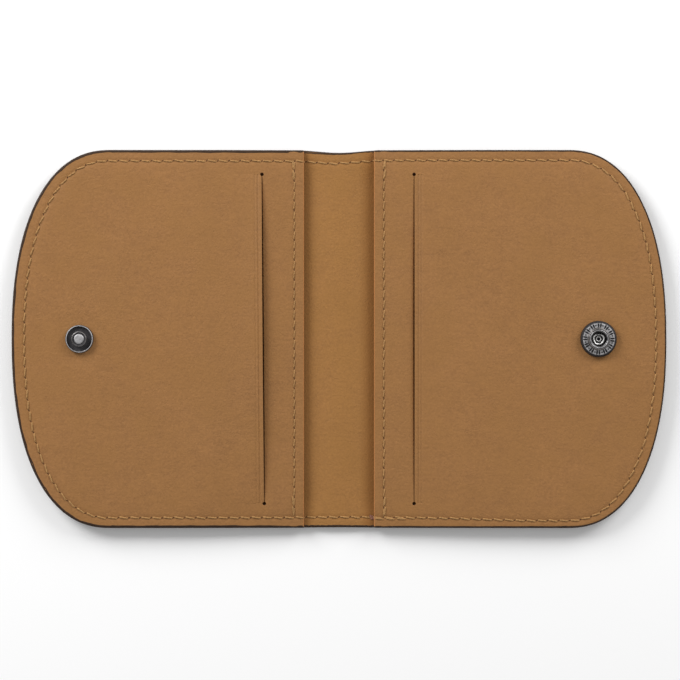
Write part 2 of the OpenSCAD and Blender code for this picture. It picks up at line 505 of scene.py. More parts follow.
def maths(tree, operation, a, b):
    return node(tree, "ShaderNodeMath", {0: a, 1: b}, operation=operation).outputs[0]


def tinted(tree, colour, *amounts):
    """A colour made lighter or darker by each amount, which is about 1."""
    total = amounts[0]
    for amount in amounts[1:]:
        total = maths(tree, "MULTIPLY", total, amount)
    return node(tree, "ShaderNodeVectorMath", {0: colour[:3], "Scale": total}, operation="SCALE").outputs[0]


def bump(tree, height, depth_mm, below=None, strength=1.0):
    inputs = {"Height": height, "Distance": depth_mm * MM, "Strength": strength}
    if below is not None:
        inputs["Normal"] = below
    return node(tree, "ShaderNodeBump", inputs).outputs[0]


# Where the painted shade beside each panel starts, where it is full, and how strong it is there
PAINTED_VALLEY_SHADE = {"right": (5.8, 9.6, 1.0), "left": (-7.0, -9.8, 0.5)}


def add_valley_shade(tree, colour):
    """Painted shade: the leather is darker beside the two panels, where their edges shade the spine, more
    along the right one.
    """
    x = node(tree, "ShaderNodeSeparateXYZ", {0: object_space(tree)}).outputs["X"]
    right, left = (
        ranged(tree, x, 0.0, amount, start * MM, full * MM) for start, full, amount in PAINTED_VALLEY_SHADE.values()
    )
    return mixed(tree, maths(tree, "ADD", right, left), colour, VALLEY_SHADE)


def leather(name, colour, warm, roughness=0.56, grain_mm=0.7, grain_depth=0.07, fibre=0.05, valley_shade=False):
    """Smooth leather: cloudy colour, faint fibres along X, fine pores and a soft grain."""
    mat, tree, shader = node_material(name)
    where = object_space(tree)
    along = object_space(tree, (0.16, 1, 1))
    cloud = noise(tree, where, 22, 3)
    patch = noise(tree, where, 4.5, 4)
    grain = noise(tree, where, grain_mm, 5, 0.65)
    strands = noise(tree, along, 0.8, 5, 0.6)
    wrinkle = noise(tree, where, 2.4, 3, 0.5, distortion=1.4)
    fold = ranged(tree, maths(tree, "ABSOLUTE", maths(tree, "SUBTRACT", wrinkle, 0.5), 0.0), 0, 1, 0, 0.05)
    pores = cells(tree, where, grain_mm * 0.9)
    shade = tinted(
        tree, colour,
        ranged(tree, cloud, 0.97, 1.03),
        ranged(tree, patch, 0.965, 1.035),
        ranged(tree, strands, 1 - fibre, 1 + fibre),
        ranged(tree, grain, 0.88, 1.12),
        ranged(tree, fold, 0.975, 1.01, 0, 1),
    )
    warmth = ranged(tree, noise(tree, where, 9, 3), 0.0, 0.5, 0.35, 0.65)
    skin = mixed(tree, warmth, shade, warm)
    height = maths(tree, "ADD", maths(tree, "MULTIPLY", grain, 0.8), maths(tree, "MULTIPLY", pores, 0.5))
    height = maths(tree, "ADD", height, maths(tree, "MULTIPLY", strands, 0.3))
    height = maths(tree, "ADD", height, maths(tree, "MULTIPLY", fold, 0.25))
    soft = bump(tree, patch, 0.05, strength=0.6)
    feed(tree, shader, {
        # The lining's colour can take painted shade beside the panels, where their edges shade the spine
        "Base Color": add_valley_shade(tree, skin) if valley_shade else skin,
        "Roughness": ranged(tree, patch, roughness - 0.05, roughness + 0.06),
        "Normal": bump(tree, height, grain_depth, soft),
        "Specular IOR Level": 0.22,
        "Sheen Weight": 0.06,
        "Sheen Roughness": 0.5,
    })
    return mat


def painted_edge():
    """Thick dark edge paint: smooth, a little glossy, with faint brush ripples."""
    mat, tree, shader = node_material("edge_paint")
    where = object_space(tree)
    ripple = noise(tree, where, 1.6, 3)
    fine = noise(tree, where, 0.25, 4)
    feed(tree, shader, {
        "Base Color": tinted(tree, EDGE_PAINT, ranged(tree, ripple, 0.85, 1.2)),
        "Roughness": ranged(tree, fine, 0.56, 0.70),
        "Normal": bump(tree, ripple, 0.04),
        "Specular IOR Level": 0.1,
    })
    return mat


def thread_material(name, colour):
    """Waxed thread: fine filaments with a soft sheen."""
    mat, tree, shader = node_material(name)
    where = object_space(tree)
    fluff = noise(tree, where, 0.16, 4, 0.7)
    along = noise(tree, where, 1.4, 2)
    shade = tinted(
        tree, colour,
        ranged(tree, fluff, 0.78, 1.2),
        ranged(tree, along, 0.88, 1.1),
    )
    feed(tree, shader, {
        "Base Color": shade,
        "Roughness": ranged(tree, fluff, 0.6, 0.8),
        "Normal": bump(tree, fluff, 0.03),
        "Sheen Weight": 0.05,
        "Specular IOR Level": 0.3,
    })
    return mat


SCRATCH_STRENGTH = 0.5


def metal(name, colour, roughness, stain=0.25, metallic=1.0):
    """Plated metal with patchy tarnish, fine scratches and wear."""
    mat, tree, shader = node_material(name)
    where = object_space(tree)
    patch = noise(tree, where, 1.1, 4, 0.6)
    fine = noise(tree, object_space(tree, (1, 0.12, 1)), 0.09, 4, 0.7)
    shade = tinted(
        tree, colour,
        ranged(tree, patch, 1 - stain, 1 + stain * 0.6),
        ranged(tree, fine, 0.92, 1.06),
    )
    wear_and_highlight = maths(tree, "ADD", patch, fine)
    feed(tree, shader, {
        "Base Color": shade,
        "Metallic": metallic,
        "Specular IOR Level": 0.3,
        "Roughness": ranged(tree, wear_and_highlight, roughness - 0.05, roughness + 0.09, 0.7, 1.3),
        "Normal": bump(tree, fine, 0.008, strength=SCRATCH_STRENGTH),
    })
    return mat


# Colours are linear, and the WARM ones show in patches
TAN = (0.292, 0.138, 0.0465, 1)
TAN_WARM = (0.285, 0.136, 0.040, 1)
LINING = (0.312, 0.146, 0.042, 1)
LINING_WARM = (0.300, 0.142, 0.036, 1)
# Colour of the leather's cut edges, also used as a painted highlight along the panels' inner edges
CUT_EDGE_AND_HIGHLIGHT = (0.42, 0.170, 0.052, 1)
CUT_WARM_AND_HIGHLIGHT = (0.38, 0.150, 0.042, 1)
# Colour of the painted shade beside the panels
VALLEY_SHADE = (0.262, 0.109, 0.0245, 1)
DARK = (0.036, 0.0235, 0.017, 1)
EDGE_PAINT = (0.040, 0.024, 0.016, 1)
# Colour of the hole marks: painted shade where the thread goes down into the leather
HOLE = (0.10, 0.042, 0.014, 1)
WELT = (0.12, 0.075, 0.05, 1)
WELT_WARM = (0.11, 0.07, 0.045, 1)
BOARD = (0.45, 0.40, 0.33, 1)
BOARD_WARM = (0.42, 0.37, 0.30, 1)
THREAD = (0.365, 0.196, 0.068, 1)
DARK_THREAD = (0.085, 0.06, 0.045, 1)
MELTED = (0.25, 0.112, 0.072, 1)

panel_mat = leather("panel_leather", TAN, TAN_WARM)
# The lining takes painted shade beside the panels
lining_mat = leather("lining_leather", LINING, LINING_WARM, valley_shade=True)
cut_edge_and_highlight_mat = leather("cut_edge_and_painted_highlight", CUT_EDGE_AND_HIGHLIGHT, CUT_WARM_AND_HIGHLIGHT, roughness=0.7, grain_mm=0.25, grain_depth=0.03)
dark_mat = leather("outer_leather", DARK, DARK, roughness=0.5, grain_mm=0.9, grain_depth=0.05, fibre=0.02)
welt_mat = leather("welt_leather", WELT, WELT_WARM, roughness=0.8)
board_mat = leather("stiffener_board", BOARD, BOARD_WARM, roughness=0.85)
paint_mat = painted_edge()
thread_mat = thread_material("tan_thread", THREAD)
dark_thread_mat = thread_material("dark_thread", DARK_THREAD)
melt_mat = thread_material("melted_thread", MELTED)
hole_shade_mat = leather("stitch_hole_shade", HOLE, HOLE, roughness=0.85)
bright_metal = metal("gunmetal_bright", (0.54, 0.53, 0.535), 0.46)
rivet_metal = metal("rivet_bright", (0.95, 0.94, 0.92), 0.42, 0.12)
# Near-black metal of the socket's pressed marks, and painted shade in the rivet's bore
marks_and_bore_shade_metal = metal("gunmetal_marks_and_bore_shade", (0.018, 0.017, 0.019), 0.62, 0.4, metallic=0.3)
# Dark copy of the stud's metal: painted shade on its outer wall, low ring and groove
stud_shade_metal = metal("gunmetal_stud_painted_shade", (0.046, 0.043, 0.046), 0.52, 0.35, metallic=0.35)
mid_metal = metal("gunmetal_mid", (0.25, 0.24, 0.235), 0.42, 0.3)
# Near-black metal of the socket's rim, which inside the mouth is painted shade
rim_metal = metal("gunmetal_rim", (0.024, 0.021, 0.022), 0.56, 0.35, metallic=0.25)
# Bright copy of the stud's metal: painted highlight on its rim's top and its nub's top
stud_highlight_metal = metal("gunmetal_stud_painted_highlight", (0.47, 0.46, 0.465), 0.60)
spring_metal = metal("spring_wire", (0.22, 0.215, 0.21), 0.36, 0.2)

# ---------------- bodies


def on_half(obj, side_name, slot, *nodes):
    """obj rides stiffly on one half, and stands in for the CAD nodes named."""
    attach(obj, f"{side_name}_half")
    if nodes:
        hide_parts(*nodes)


def across_fold(obj, side_name, slot, *nodes):
    """obj starts at the middle of the spine; its transform is baked in, and it stands in for the CAD nodes
    named.
    """
    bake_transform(obj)
    if nodes:
        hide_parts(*nodes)


# ---------------- leather pieces

# Radii of the panels' edges and of the slit's lips, and how far in the painted highlight along the inner
# edge reaches
EDGE_ROUND = 0.24
SLIT_ROUND = 0.12
HIGHLIGHT_EDGE = 0.22
SHELL_ROUND = 0.25
# Insets of each sheet's rings, from the inside to its edge, close together at the seams
PANEL_INSETS = [5.0, 4.5, 4.1, 3.8, 3.5, 3.25, 3.0, 2.75, 2.5, 2.2, 1.8, 1.4, 1.05, 0.8]
PANEL_INSETS += [0.66, 0.56, 0.49, EDGE_LIP]
HOLE_STEPS = [0, 0.12, 0.24, 0.36, 0.45, 0.52, 0.8, 1.2]
PINHOLE_ROWS = [SLIT_END + way * step for step in HOLE_STEPS for way in (-1, 1)]


def panel(side_name):
    """The inner panel: slot strip and card panel in one leather, parted by the slit."""
    side = SIDES[side_name]
    before = [2.6, 1.7, 1.1, 0.7, 0.4, 0.2, SLIT_ROUND, 0.05, 0]
    after = [0, 0.05, SLIT_ROUND, 0.25, 0.5, 0.8, 0.98, 1.1, 1.2, HEAT_LINE, 1.4, 1.5, 1.62]
    after += [1.8, 1.95, SECOND_LINE, 2.25, 2.4, 2.9, 3.6]
    columns = at([15.3, 16.2, 17.2, 18.2])
    columns += [("before cut", gap) for gap in before] + [("after cut", gap) for gap in after]
    columns += at(np.linspace(26.5, STRAIGHT_TO, 22))
    points, faces = sheet_half(
        side, PANEL_X, PANEL_INSETS, columns, 1.5, panel_height, inner_edge=True, extra_y=PINHOLE_ROWS
    )
    low = points[:, 2] - PANEL_T
    top = points[:, 2] - rounding(points[:, 3], EDGE_ROUND) - rounding(points[:, 4], SLIT_ROUND)
    solid, faces, wall_count = thicken(np.column_stack([points[:, :2], top]), faces, low)
    obj = add_mesh(f"panel_{side_name}", solid, faces, [panel_mat, cut_edge_and_highlight_mat], side)
    # The walls take the cut edge's colour, and so does a thin band of the top along the inner edge, as a
    # painted highlight
    for poly in obj.data.polygons:
        wall = poly.index >= len(faces) - wall_count
        wear_and_highlight = poly.index < len(points) and all(
            v < len(points) and points[v, 3] < HIGHLIGHT_EDGE and points[v, 0] < PANEL_X + 1
            for v in poly.vertices
        )
        poly.material_index = 1 if wall or wear_and_highlight else 0
    on_half(obj, side_name, "panel_leather", f"slot_strip_{side_name}", f"card_panel_{side_name}")


LINING_INSETS = [5.0, 4.4, 3.9, 3.6, 3.3, 3.0, 2.7, 2.4, 2.0, 1.4, 0.9, 0.6, EDGE_LIP]


def lining(side_name):
    side = SIDES[side_name]
    columns = at(list(np.arange(0.6, 12.1, 0.6)) + list(np.linspace(14, STRAIGHT_TO, 16)))
    points, faces = sheet_half(side, 0, LINING_INSETS, columns, 2.5, lining_height)
    low = np.minimum(points[:, 2] - 0.3, SHELL_SPINE_TOP)
    solid, faces, _ = thicken(points[:, :3], faces, low)
    obj = add_mesh(f"lining_{side_name}", solid, faces, [lining_mat], side)
    across_fold(obj, side_name, "lining_leather", f"lining_{side_name}", "lining_spine")


SHELL_INSETS = [5.0, 4.4, 4.0, 3.7, 3.4, 3.2, 3.0, 2.8, 2.6, 2.3, 2.0, 1.5, 1.0, 0.6, 0.4, 0.3]


def outer_leather(side_name):
    """Outer leather, thicker in the spine and skived for the board beyond it."""
    side = SIDES[side_name]
    columns = at(list(np.arange(0.6, 12.1, 0.6)) + list(np.linspace(14, STRAIGHT_TO, 20)))

    def shell_top(x, _y, _side):
        return SHELL_TOP + (SHELL_SPINE_TOP - SHELL_TOP) * (1 - smooth((x - 3) / 1.5))

    points, faces = sheet_half(side, 0, SHELL_INSETS, columns, 2, shell_top)
    low = outer_face(points[:, 0], points[:, 1], side) + rounding(points[:, 3], SHELL_ROUND)
    solid, faces, _ = thicken(points[:, :3], faces, low)
    obj = add_mesh(f"outer_leather_{side_name}", solid, faces, [dark_mat], side)
    across_fold(obj, side_name, "outer_leather", f"shell_{side_name}", "shell_spine")


WELT_INSETS = [6.8, 5.5, 4.0, 3.0, 2.0, 1.0, 0.55]


def welt(side_name):
    """Packing between lining and panel, round three sides of the pocket."""
    side = SIDES[side_name]
    columns = at(np.linspace(13, STRAIGHT_TO, 20))

    def welt_top(x, y, at_side):
        return panel_height(x, y, at_side) - PANEL_T - 0.02

    points, faces = sheet_half(side, PANEL_X + 0.4, WELT_INSETS, columns, 2.5, welt_top, fill=False)
    solid, faces, _ = thicken(points[:, :3], faces, LINING_TOP - 0.25)
    obj = add_mesh(f"pocket_welt_visual_{side_name}", solid, faces, [welt_mat], side)
    on_half(obj, side_name, "welt_leather", f"pocket_welt_{side_name}")


# Where the board starts, beyond the bend, and its underside and top
BOARD_START = 8.6
BOARD_INSETS = [5.0, 3.0, 1.6]
BOARD_UNDER = 0.72
BOARD_TOP = 0.98


def board(side_name):
    """Thin stiffener between outer leather and lining, which starts beyond the bend."""
    side = SIDES[side_name]
    columns = at(np.linspace(12, STRAIGHT_TO, 10))

    def board_top(x, _y, _side):
        return np.full(len(x), BOARD_TOP)

    points, faces = sheet_half(side, BOARD_START, BOARD_INSETS, columns, 5, board_top)
    solid, faces, _ = thicken(points[:, :3], faces, BOARD_UNDER)
    obj = add_mesh(f"stiffener_visual_{side_name}", solid, faces, [board_mat], side)
    on_half(obj, side_name, "stiffener_board", f"stiffener_{side_name}")


def edge_stations():
    """Places along the edge of one half, as functions of the inset, from the top of the spine round."""
    spine, step, half = np.arange(0, 9.1, 0.6), np.arange(9.2, 11.2, 0.2), np.arange(11.5, END_X, 1.4)
    xs = np.unique(np.concatenate([spine, step, half]))
    angles = np.radians(np.linspace(0, 180, 121))
    straight = [("x", x, 1) for x in xs]
    return straight + [("t", t, 0) for t in angles] + [("x", x, -1) for x in xs[::-1]]


def edge_point(station, inset):
    """The point of a station that is that far in from the outline."""
    kind, value, sign = station
    if kind == "t":
        return end_curve(value, inset)
    return value, sign * (HALF_H - inset) * (1 - float(waist(value, sign)) / HALF_H)


def paint_border(x, y):
    """How far in the paint reaches on the inside face at a real x: least on the right."""
    reach = 0.88 - 0.30 * float(smooth(x / 60 + 0.5)) - 0.16 * float(smooth((x - END_X) / END_LEN))
    bare = math.exp(-(((x - 5) / 4) ** 2)) if y > 0 else 0
    reach -= 0.22 * bare
    return reach + 0.07 * float(waves(x, y, 51, 5)) + 0.05 * float(waves(x, y, 52, 1.6))


PAINT_INSET = 0.6


def edge_paint(side_name):
    """A domed coat of paint over all the layers' edges, with an uneven inner border."""
    side = SIDES[side_name]
    points = []
    for station in edge_stations():
        x0, y0 = edge_point(station, PAINT_INSET)
        top = float(inner_face(x0, y0, side))
        if x0 > PANEL_X:
            top -= float(rounding(PAINT_INSET - EDGE_LIP, EDGE_ROUND))
        border = paint_border(x0 * side, y0)
        middle = top * 0.5
        section = [
            (border + 0.10, top - 0.10), (border, top + 0.004), (border - 0.07, top + 0.03),
            (border * 0.66, top + 0.02), (border * 0.42, top - 0.07), (0.13, top - 0.26),
            (0.04, top - 0.55), (0.0, middle), (0.03, 0.55), (0.12, 0.26), (0.26, 0.07),
            (0.42, 0.01), (PAINT_INSET, 0.02), (0.70, 0.2), (0.72, middle),
        ]
        for inset, z in section:
            x, y = edge_point(station, max(inset, 0))
            points.append((x, y, z))
    faces = tube_faces(0, len(points) // len(section), len(section), flip=True)
    obj = add_mesh(f"edge_paint_{side_name}", points, faces, [paint_mat], side, sharp_deg=60)
    across_fold(obj, side_name, "outer_leather")


# ---------------- stitching

THREAD_R = 0.22
THREAD_SIDES = 10
THREAD_STEPS = 16
# Depth and length of the twist between the thread's two plies, and how flat it lies
PLY_DEPTH = 0.13
PLY_LAY = 0.95
THREAD_FLAT = 0.82
# Share of the pitch that a stitch covers, and the pitch of the edge and of the panels' seams
STITCH_SHARE = 0.84
EDGE_PITCH = 3.15
INNER_PITCH = 2.86


class Tubes:
    """Gathers many thread tubes and hole marks of painted shade into two lists of points and faces."""

    def __init__(self):
        self.thread, self.thread_faces = [], []
        self.marks, self.mark_faces = [], []

    def tube(self, path, radius):
        """A two-ply thread along path, closed at both ends."""
        path = np.array(path)
        ahead = np.gradient(path, axis=0)
        ahead /= np.linalg.norm(ahead, axis=1)[:, None]
        across = np.cross(ahead, (0, 0, 1.0))
        across /= np.maximum(np.linalg.norm(across, axis=1), 1e-6)[:, None]
        up = np.cross(across, ahead)
        run = np.concatenate([[0], np.cumsum(np.linalg.norm(np.diff(path, axis=0), axis=1))])
        start = len(self.thread)
        for k in range(len(path)):
            for i in range(THREAD_SIDES):
                a = math.tau * i / THREAD_SIDES
                r = radius * (1 + PLY_DEPTH * math.cos(2 * (a - math.tau * run[k] / (2 * PLY_LAY))))
                out = math.cos(a) * across[k] + THREAD_FLAT * math.sin(a) * up[k]
                self.thread.append(path[k] + r * out)
        self.thread_faces += tube_faces(start, len(path), THREAD_SIDES)

    def mark(self, centre, way, length, width, thick):
        """A flat dark lens: painted shade where a hole goes down into the leather. It also makes the
        socket's pressed dashes.
        """
        sides = 12
        rows = [(-1.0, 0.6), (0.0, 1.0), (0.62, 0.72), (0.92, 0.3)]
        start = len(self.marks)
        along = np.array([way[0], way[1], 0.0])
        across = np.array([-way[1], way[0], 0.0])
        for h, r in rows:
            for i in range(sides):
                a = math.tau * i / sides
                spot = centre + r * (length / 2 * math.cos(a) * along + width / 2 * math.sin(a) * across)
                self.marks.append(spot + np.array([0, 0, h * thick]))
        self.mark_faces += tube_faces(start, len(rows), sides, flip=True)


def one_stitch(tubes, middle, way, pitch, surface, rng, slant, outward=1, radius=THREAD_R):
    """A stitch from hole to hole, lying on surface(x, y) and dipping into it at both ends."""
    across = np.array([-way[1], way[0]])
    lean = slant + rng.uniform(-0.07, 0.07)
    middle = middle + across * rng.uniform(-0.05, 0.05)
    reach = pitch * STITCH_SHARE / 2 * rng.uniform(0.95, 1.03)
    path = []
    for u in np.linspace(-1, 1, THREAD_STEPS + 1):
        spot = middle + way * u * reach + across * u * lean
        lift = (1 - abs(u) ** 5) * radius * 0.62 - 0.42 * abs(u) ** 9
        path.append((spot[0], spot[1], float(surface(spot[0], spot[1])) + outward * lift))
    tubes.tube(path, radius)


# A dark lens of painted shade where a stitch goes down into its hole
def paint_hole_shade(tubes, spot, way, surface, rng, side, length=1.15, turn_deg=38):
    turn = math.radians(turn_deg + rng.uniform(-8, 8)) * side
    c, s = math.cos(turn), math.sin(turn)
    tilted = np.array([way[0] * c - way[1] * s, way[0] * s + way[1] * c])
    z = float(surface(spot[0], spot[1]))
    tubes.mark(
        np.array([spot[0], spot[1], z + 0.004]), tilted,
        length * rng.uniform(0.9, 1.1), rng.uniform(0.38, 0.48), 0.035,
    )


def edge_path(side):
    """The edge stitching's path on one half, point by point from the top of the spine round."""

    def straight(sign):
        path = []
        for x in np.arange(0, END_X, 0.5):
            inset = float(stitch_inset(x, sign, side))
            path.append((x, sign * (HALF_H - inset) * (1 - float(waist(x, sign)) / HALF_H)))
        return path

    turn = []
    for t in np.radians(np.linspace(0, 180, 361)):
        x, y = end_curve(t, SEAM[side]["end"])
        x, y = end_curve(t, float(stitch_inset(x, y, side)))
        turn.append((float(x), float(y)))
    return np.array(straight(1) + turn + straight(-1)[::-1])


def walk(path, pitch):
    """Middles and directions of stitches spaced evenly along path, and the holes between them."""
    run = np.concatenate([[0], np.cumsum(np.linalg.norm(np.diff(path, axis=0), axis=1))])
    count = round(run[-1] / pitch)
    step = run[-1] / count

    def place(s):
        return np.array([np.interp(s, run, path[:, 0]), np.interp(s, run, path[:, 1])])

    def heading(s):
        d = place(min(s + 0.8, run[-1])) - place(max(s - 0.8, 0))
        return d / np.linalg.norm(d)

    middles = [(place((k + 0.5) * step), heading((k + 0.5) * step)) for k in range(count)]
    holes = [(place(k * step), heading(k * step)) for k in range(count + 1)]
    return middles, holes, step


def edge_stitching(side_name):
    """The seam round the wallet, which starts and ends at the bottom of the right panel."""
    side = SIDES[side_name]
    rng = random.Random(100 + side)
    tubes = Tubes()
    surface = partial(inner_face, side=side)
    middles, holes, step = walk(edge_path(side), EDGE_PITCH)
    for middle, way in middles:
        one_stitch(tubes, middle, way, step, surface, rng, slant=-0.20 * side)
    for spot, way in holes if side > 0 else holes[1:-1]:
        paint_hole_shade(tubes, spot, way, surface, rng, side)
    if side > 0:
        # a few stitches are sewn over twice
        for middle, way in middles[-6:-3]:
            across = np.array([-way[1], way[0]])
            one_stitch(tubes, middle + across * 0.30 - way * 0.5, way, step, surface, rng, slant=-0.1)
        melted_end(surface)
    nodes = [f"edge_thread_{side_name}", "edge_thread_spine"]
    place_stitches(tubes, side_name, "edge_thread", across_fold, *nodes)


# Start, run and thickness of each of the seam's two cut ends
THREAD_ENDS = [((8.8, -50.75), (1.4, -0.5), 0.42), ((9.1, -51.5), (1.0, 0.55), 0.36)]


def melted_end(surface):
    """The seam's two cut ends, melted to a small dark lump beside the panel's corner."""
    lump = Tubes()
    for start, run, radius in THREAD_ENDS:
        path = []
        for u in np.linspace(0, 1, THREAD_STEPS + 1):
            x = start[0] + u * run[0] + 0.06 * math.sin(5 * u)
            y = start[1] + u * run[1] + 0.12 * math.sin(5 * u)
            path.append((x, y, float(surface(x, y)) + 0.12 * math.sin(math.pi * u)))
        lump.tube(path, radius)
    obj = add_mesh("edge_thread_end", lump.thread, lump.thread_faces, [melt_mat])
    across_fold(obj, "right", "thread")


def panel_stitching(side_name):
    """The straight seam along a panel's inner edge, sewn over twice at both ends."""
    side = SIDES[side_name]
    rng = random.Random(200 + side)
    tubes = Tubes()
    surface = partial(panel_height, side=side)
    reach = HALF_H - SEAM[side]["top"]
    x = PANEL_X + PANEL_STITCH
    middles, holes, step = walk(np.array([(x, reach), (x, -reach)]), INNER_PITCH)
    for middle, way in middles:
        one_stitch(tubes, middle, way, step, surface, rng, radius=THREAD_R * 0.8, slant=-0.16 * side)
    for spot, way in holes[1:-1]:
        paint_hole_shade(tubes, spot, way, surface, rng, side, length=1.5, turn_deg=14)
    for middle, way in middles[:2] + middles[-2:]:
        one_stitch(tubes, middle + np.array([0.3, 0.4]), way, step, surface, rng, slant=-0.08)
    place_stitches(tubes, side_name, "panel_thread", on_half, f"panel_thread_{side_name}")


def outer_stitching(side_name):
    """The same seam seen from outside, in thread of the outer leather's colour."""
    side = SIDES[side_name]
    rng = random.Random(300 + side)
    tubes = Tubes()
    surface = partial(outer_face, side=side)
    middles, _, step = walk(edge_path(side), EDGE_PITCH)
    for middle, way in middles:
        one_stitch(tubes, middle, way, step, surface, rng, outward=-1, slant=0.1 * side)
    obj = add_mesh(f"outer_stitching_{side_name}", tubes.thread, tubes.thread_faces, [dark_thread_mat], side)
    across_fold(obj, side_name, "outer_leather")


def place_stitches(tubes, side_name, name, mover, *nodes):
    """One piece of all the thread and one of all the holes. mover says what they ride on."""
    side = SIDES[side_name]
    thread = add_mesh(f"{name}_stitches_{side_name}", tubes.thread, tubes.thread_faces, [thread_mat], side)
    mover(thread, side_name, "thread", *nodes)
    # The hole marks are painted shade
    holes = add_mesh(f"{name}_holes_{side_name}", tubes.marks, tubes.mark_faces, [hole_shade_mat], side)
    mover(holes, side_name, "panel_leather")


# ---------------- snap


def lathe(name, profile, spans, segments, centre, mats, shape, closed=False):
    """Turns a profile of (radius, height) about Z. spans gives each of its steps a material.

    shape(angle, radius, height) bends the turned form a little.
    """
    points, faces, kinds = [], [], []
    rows = []
    for r, z in profile:
        if r < 1e-6:
            rows.append([len(points)])
            points.append((0, 0, z))
            continue
        row = []
        for i in range(segments):
            a = math.tau * i / segments
            rr, zz = shape(a, r, z)
            row.append(len(points))
            points.append((rr * math.cos(a), rr * math.sin(a), zz))
        rows.append(row)
    pairs = list(zip(range(len(rows) - 1), range(1, len(rows))))
    if closed:
        pairs.append((len(rows) - 1, 0))
    for a, b in pairs:
        low, high = rows[a], rows[b]
        for i in range(segments):
            j = (i + 1) % segments
            if len(low) == 1:
                faces.append([low[0], high[j], high[i]])
            elif len(high) == 1:
                faces.append([low[i], low[j], high[0]])
            else:
                faces.append([low[i], low[j], high[j], high[i]])
            kinds.append(spans[a])
    obj = add_mesh(name, np.array(points) + np.array(centre), faces, mats, sharp_deg=50)
    for poly, kind in zip(obj.data.polygons, kinds):
        poly.material_index = kind
    return obj


def arc(cx, cz, radius, start_deg, end_deg, steps):
    """Points of an arc in the profile plane."""
    return [
        (cx + radius * math.cos(math.radians(a)), cz + radius * math.sin(math.radians(a)))
        for a in np.linspace(start_deg, end_deg, steps)
    ]


# Places in each turned part's list of metals
MID, BRIGHT, BLACK = 0, 1, 2


def spans_of(pieces):
    """Joins profile stretches given as (points, material) and says each step's material."""
    profile, spans = [], []
    for points, kind in pieces:
        for p in points:
            if profile:
                spans.append(kind)
            profile.append(p)
    return profile, spans + [0]


def stud():
    centre = (-SNAP_X, 0, PANEL_TOP)
    rim_in = STUD_R - 0.45
    # The stud is one plated metal: the bright metal on the rim's top and the nub's top is a painted
    # highlight, while the mid metal on the nub's sides and the dome's outer slope, and the dark metal on the
    # outer wall, the low ring and the groove, are painted shade
    profile, spans = spans_of([
        ([(0, -0.3), (STUD_R - 0.12, -0.3), (STUD_R, -0.1), (STUD_R, 0.75)], BLACK),
        ([(STUD_R - 0.04, 0.86), (STUD_R - 0.14, 0.95)], BLACK),
        (arc(STUD_R - 0.28, 0.93, 0.13, 25, 160, 7), BRIGHT),
        ([(rim_in, 0.6)], BLACK),
        ([(rim_in - 0.02, 0.5), (rim_in - 0.2, 0.36), (2.5, 0.34), (2.12, 0.40), (1.86, 0.52), (1.75, 0.7),
          (1.75, 1.42), (1.9, 1.5)], BLACK),
        ([(2.08, 1.56)] + arc(1.93, 1.78, 0.22, -30, 80, 7), MID),
        ([(1.78, 1.965), (1.66, 1.90), (1.55, 1.90)], BLACK),
        # Mid metal on the dome's outer slope: painted shade falling off towards the dome's edge
        (arc(1.00, 1.66, 0.52, 10, 40, 4), MID),
        (arc(1.00, 1.66, 0.52, 48, 76, 4), BRIGHT),
        ([(0.85, 2.185), (0.5, 2.21), (0.25, 2.215), (0, 2.215)], BRIGHT),
    ])

    def dent(a, r, z):
        if z > 1.9 and r < 1.6:
            return r * (1 + 0.015 * math.sin(3 * a + 0.6)), z + 0.012 * math.sin(2 * a)
        return r, z

    metals = [mid_metal, stud_highlight_metal, stud_shade_metal]
    obj = lathe("snap_stud_visual", profile, spans, 96, centre, metals, dent)
    on_half(obj, "left", "stud_metal", "snap_stud")


SOCKET_TEETH = 76


def socket():
    """The socket's serrated rim, flange and collar, with the spring's groove in its mouth."""
    centre = (SNAP_X, 0, PANEL_TOP)
    profile, spans = spans_of([
        ([(1.3, -0.3), (SOCKET_R - 0.2, -0.3), (SOCKET_R - 0.02, -0.1), (SOCKET_R - 0.02, 0.62)], BLACK),
        ([(SOCKET_R - 0.06, 0.86), (SOCKET_R - 0.16, 1.08)], BLACK),
        ([(SOCKET_R - 0.30, 1.22), (SOCKET_R - 0.50, 1.28), (SOCKET_R - 0.60, 1.29)], BLACK),
        ([(SOCKET_R - 0.70, 1.30), (4.1, 1.34), (3.3, 1.345)], BRIGHT),
        ([(3.2, 1.50), (3.13, 1.62), (3.11, 2.0), (3.07, 2.30)], MID),
        ([(2.98, 2.40), (2.90, 2.43), (2.80, 2.42)], MID),
        # The mouth's inside takes the near-black metal as painted shade
        ([(2.74, 2.38), (2.68, 2.35), (2.62, 2.38)], BLACK),
        (arc(2.51, 2.39, 0.10, 20, 160, 6), BRIGHT),
        ([(2.38, 2.38), (2.30, 2.34)], BLACK),
        ([(2.34, 2.30), (2.90, 2.26), (2.90, 1.84), (2.34, 1.80)], BLACK),
        ([(2.32, 1.0), (2.5, 0.8), (2.5, 0.40)], BLACK),
        ([(1.3, 0.36)], BLACK),
    ])

    def serrate(a, r, z):
        if r > SOCKET_R - 0.65 and z > 0.3:
            depth = 0.07 if r > SOCKET_R - 0.2 else 0.14
            return r - depth * (0.5 + 0.5 * math.cos(SOCKET_TEETH * a)), z
        return r, z

    metals = [mid_metal, bright_metal, rim_metal]
    segments = SOCKET_TEETH * 6
    obj = lathe("snap_socket_visual", profile, spans, segments, centre, metals, serrate, closed=True)
    on_half(obj, "right", "socket_metal", "snap_socket")
    flange_marks()
    rivet()
    ring_spring()


MARK_GROUPS = 12
MARK_R = 3.90
# Angle from the middle of a group, length along the radius, and width of each mark
MARKS = [(-8.0, 1.22, 0.54), (2.0, 1.22, 0.54), (13.0, 0.46, 0.46)]


